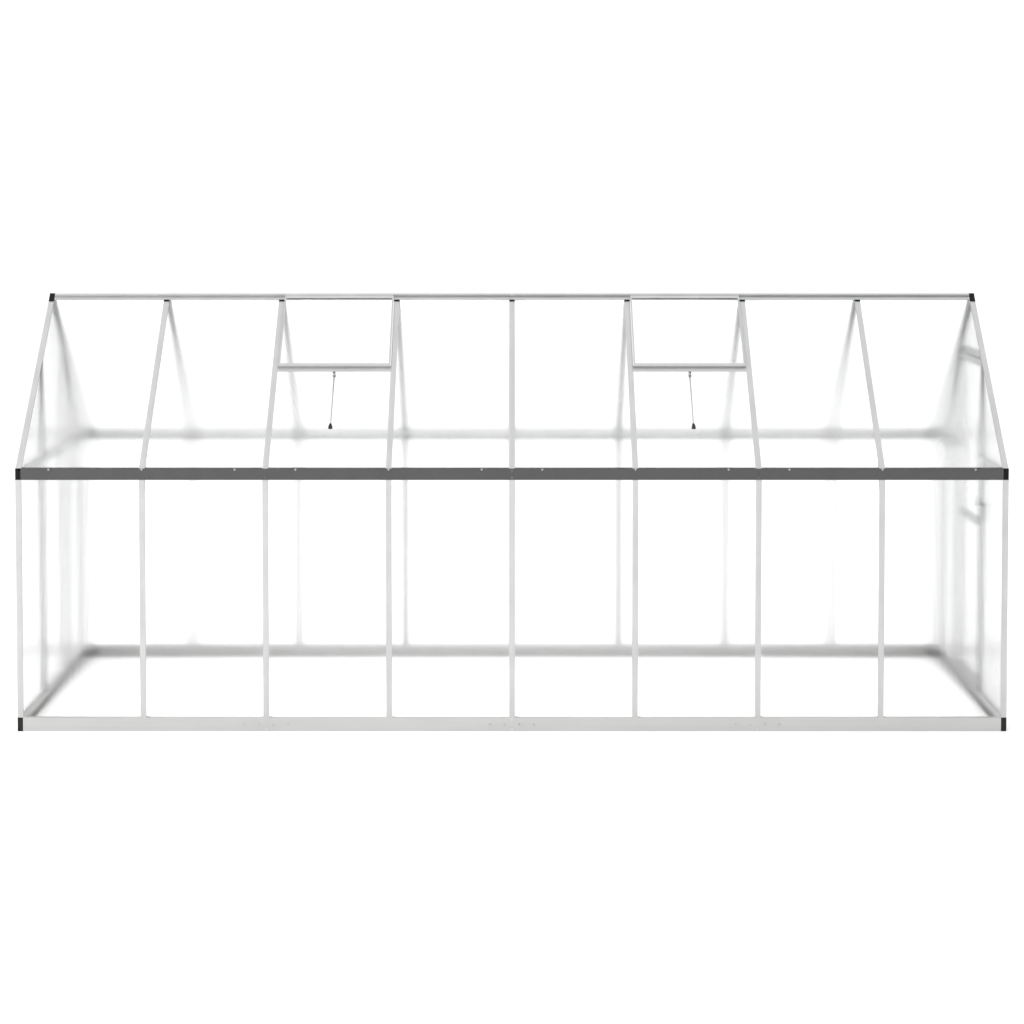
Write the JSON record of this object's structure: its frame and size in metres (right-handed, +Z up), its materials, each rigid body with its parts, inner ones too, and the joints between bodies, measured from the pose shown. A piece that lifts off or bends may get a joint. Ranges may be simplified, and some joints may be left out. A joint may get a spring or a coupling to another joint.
{
  "type": "greenhouse",
  "caption": "Long gable-roofed greenhouse of aluminium bars and twin-wall sheet, with grey gutters, two hinged roof vents on prop rods and a hinged gable door",
  "frame": {"origin": "on the ground at the middle of the footprint", "axes": "+X along the house towards the door gable, +Y to the back wall, +Z up"},
  "size_m": [4.772, 1.906, 2.063],
  "materials": {
    "bare_aluminium": "mill-finish extruded aluminium",
    "gutter_grey": "dark grey powder coat, satin",
    "black_plastic": "moulded black plastic, fine grain",
    "zinc_fastener": "zinc-plated steel",
    "twin_wall_sheet": "clear twin-wall sheet with fine vertical flutes"
  },
  "bodies": {
    "frame": {"base_rail_front": "bare_aluminium", "base_rail_back": "bare_aluminium", "base_rail_left": "bare_aluminium", "base_rail_right": "bare_aluminium", "base_corner_blocks": "black_plastic", "base_splice_plates": "bare_aluminium", "base_splice_bolts": "zinc_fastener", "corner_posts": "bare_aluminium", "studs_front": "bare_aluminium", "studs_back": "bare_aluminium", "foot_brackets": "bare_aluminium", "foot_bolts": "zinc_fastener", "gutter_front": "gutter_grey", "gutter_back": "gutter_grey", "gutter_joiners": "black_plastic", "gutter_end_caps": "black_plastic", "gutter_screws": "zinc_fastener", "eave_gussets": "bare_aluminium", "gusset_bolts": "zinc_fastener", "rafters_front": "bare_aluminium", "rafters_back": "bare_aluminium", "rakes_left": "bare_aluminium", "rakes_right": "bare_aluminium", "ridge_bar": "bare_aluminium", "ridge_splices": "bare_aluminium", "ridge_end_caps": "black_plastic", "ridge_clips": "black_plastic", "gable_studs_left": "bare_aluminium", "gable_tie_left": "bare_aluminium", "gable_ties_right": "bare_aluminium", "door_jambs": "bare_aluminium", "door_header": "bare_aluminium", "glazing_front_wall": "twin_wall_sheet", "glazing_back_wall": "twin_wall_sheet", "glazing_front_roof": "twin_wall_sheet", "glazing_back_roof": "twin_wall_sheet", "glazing_left_gable": "twin_wall_sheet", "glazing_right_gable": "twin_wall_sheet", "vent_sills": "bare_aluminium", "prop_brackets": "bare_aluminium", "prop_pins": "black_plastic", "door_hinge_frame_leaves": "bare_aluminium", "door_hinge_pins": "zinc_fastener"},
    "vent_left": {"vent_left_top_bar": "bare_aluminium", "vent_left_frame": "bare_aluminium", "vent_left_pane": "twin_wall_sheet"},
    "vent_right": {"vent_right_top_bar": "bare_aluminium", "vent_right_frame": "bare_aluminium", "vent_right_pane": "twin_wall_sheet"},
    "prop_left": {"prop_left_rod": "zinc_fastener", "prop_left_grip": "black_plastic"},
    "prop_right": {"prop_right_rod": "zinc_fastener", "prop_right_grip": "black_plastic"},
    "door": {"door_stiles": "bare_aluminium", "door_rails": "bare_aluminium", "door_panes": "twin_wall_sheet", "door_hinge_door_leaves": "bare_aluminium"},
    "latch": {"latch_handle": "black_plastic", "latch_cam": "black_plastic"}
  },
  "joints": [
    {"name": "vent_left_hinge", "type": "hinge", "parent": "frame", "child": "vent_left", "pos_m": [-0.885, -0.01344, 2.05336], "axis": [-1, 0, 0], "range_deg": [0, 45]},
    {"name": "vent_right_hinge", "type": "hinge", "parent": "frame", "child": "vent_right", "pos_m": [0.885, -0.01344, 2.05336], "axis": [-1, 0, 0], "range_deg": [0, 45]},
    {"name": "prop_left_swing", "type": "hinge", "parent": "frame", "child": "prop_left", "pos_m": [-0.885, -0.42518, 1.66967], "axis": [1, 0, 0], "range_deg": [0, 160]},
    {"name": "prop_right_swing", "type": "hinge", "parent": "frame", "child": "prop_right", "pos_m": [0.885, -0.42518, 1.66967], "axis": [1, 0, 0], "range_deg": [0, 160]},
    {"name": "door_hinge", "type": "hinge", "parent": "frame", "child": "door", "pos_m": [2.3788, 0.3095, 1], "axis": [0, 0, 1], "range_deg": [0, 110]},
    {"name": "door_latch_turn", "type": "hinge", "parent": "door", "child": "latch", "pos_m": [2.374, -0.297, 1.01], "axis": [1, 0, 0], "range_deg": [0, 90]}
  ]
}
